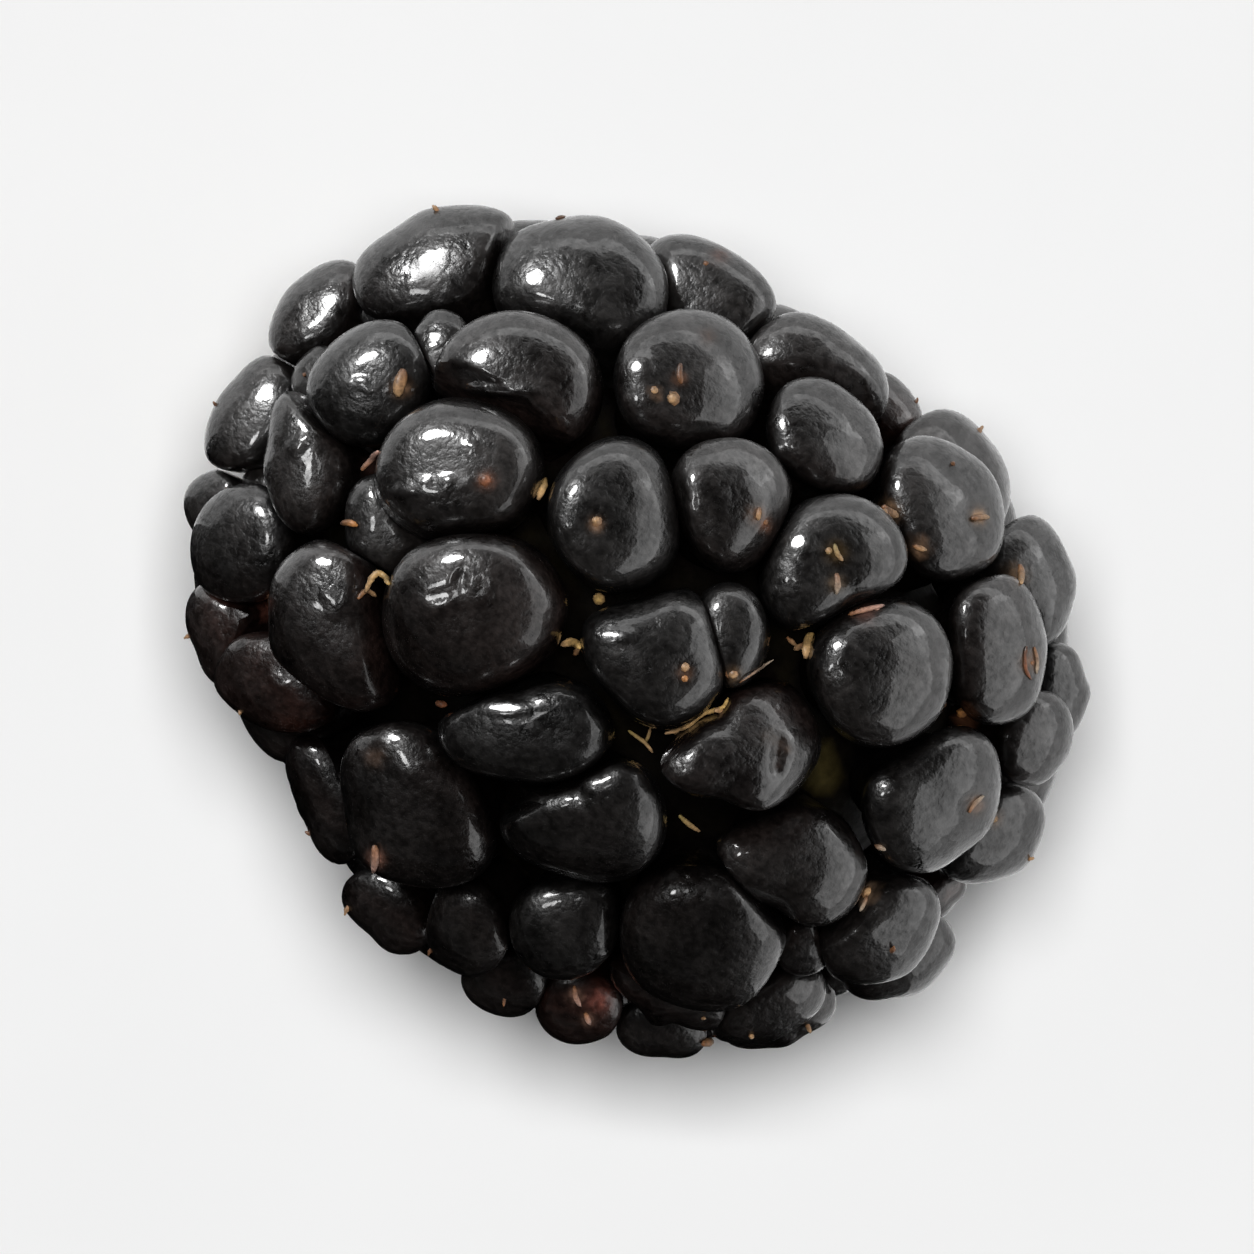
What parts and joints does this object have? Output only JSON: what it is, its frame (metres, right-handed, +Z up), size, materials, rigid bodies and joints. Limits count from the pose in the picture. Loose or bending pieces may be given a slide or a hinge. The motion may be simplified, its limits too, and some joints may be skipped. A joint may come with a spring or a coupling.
{
  "type": "bramble berry",
  "caption": "Ripe near-black compound fruit of small round drupelets pressed around an oval receptacle, lying on its side, with a dished stem scar at one end.",
  "frame": {"origin": "middle of the bounding box's bottom, on the surface the berry lies on", "axes": "+X along the fruit from the stem end to the tip, +Z up from the resting surface, +Y to the left of +X"},
  "size_m": [0.0244, 0.0202, 0.0195],
  "materials": {
    "berry_skin": "ripe drupelet skin, nearly black and slightly warm, wet-looking gloss over a soft fine texture"
  },
  "bodies": {
    "root": {"berry": "berry_skin"}
  },
  "joints": []
}
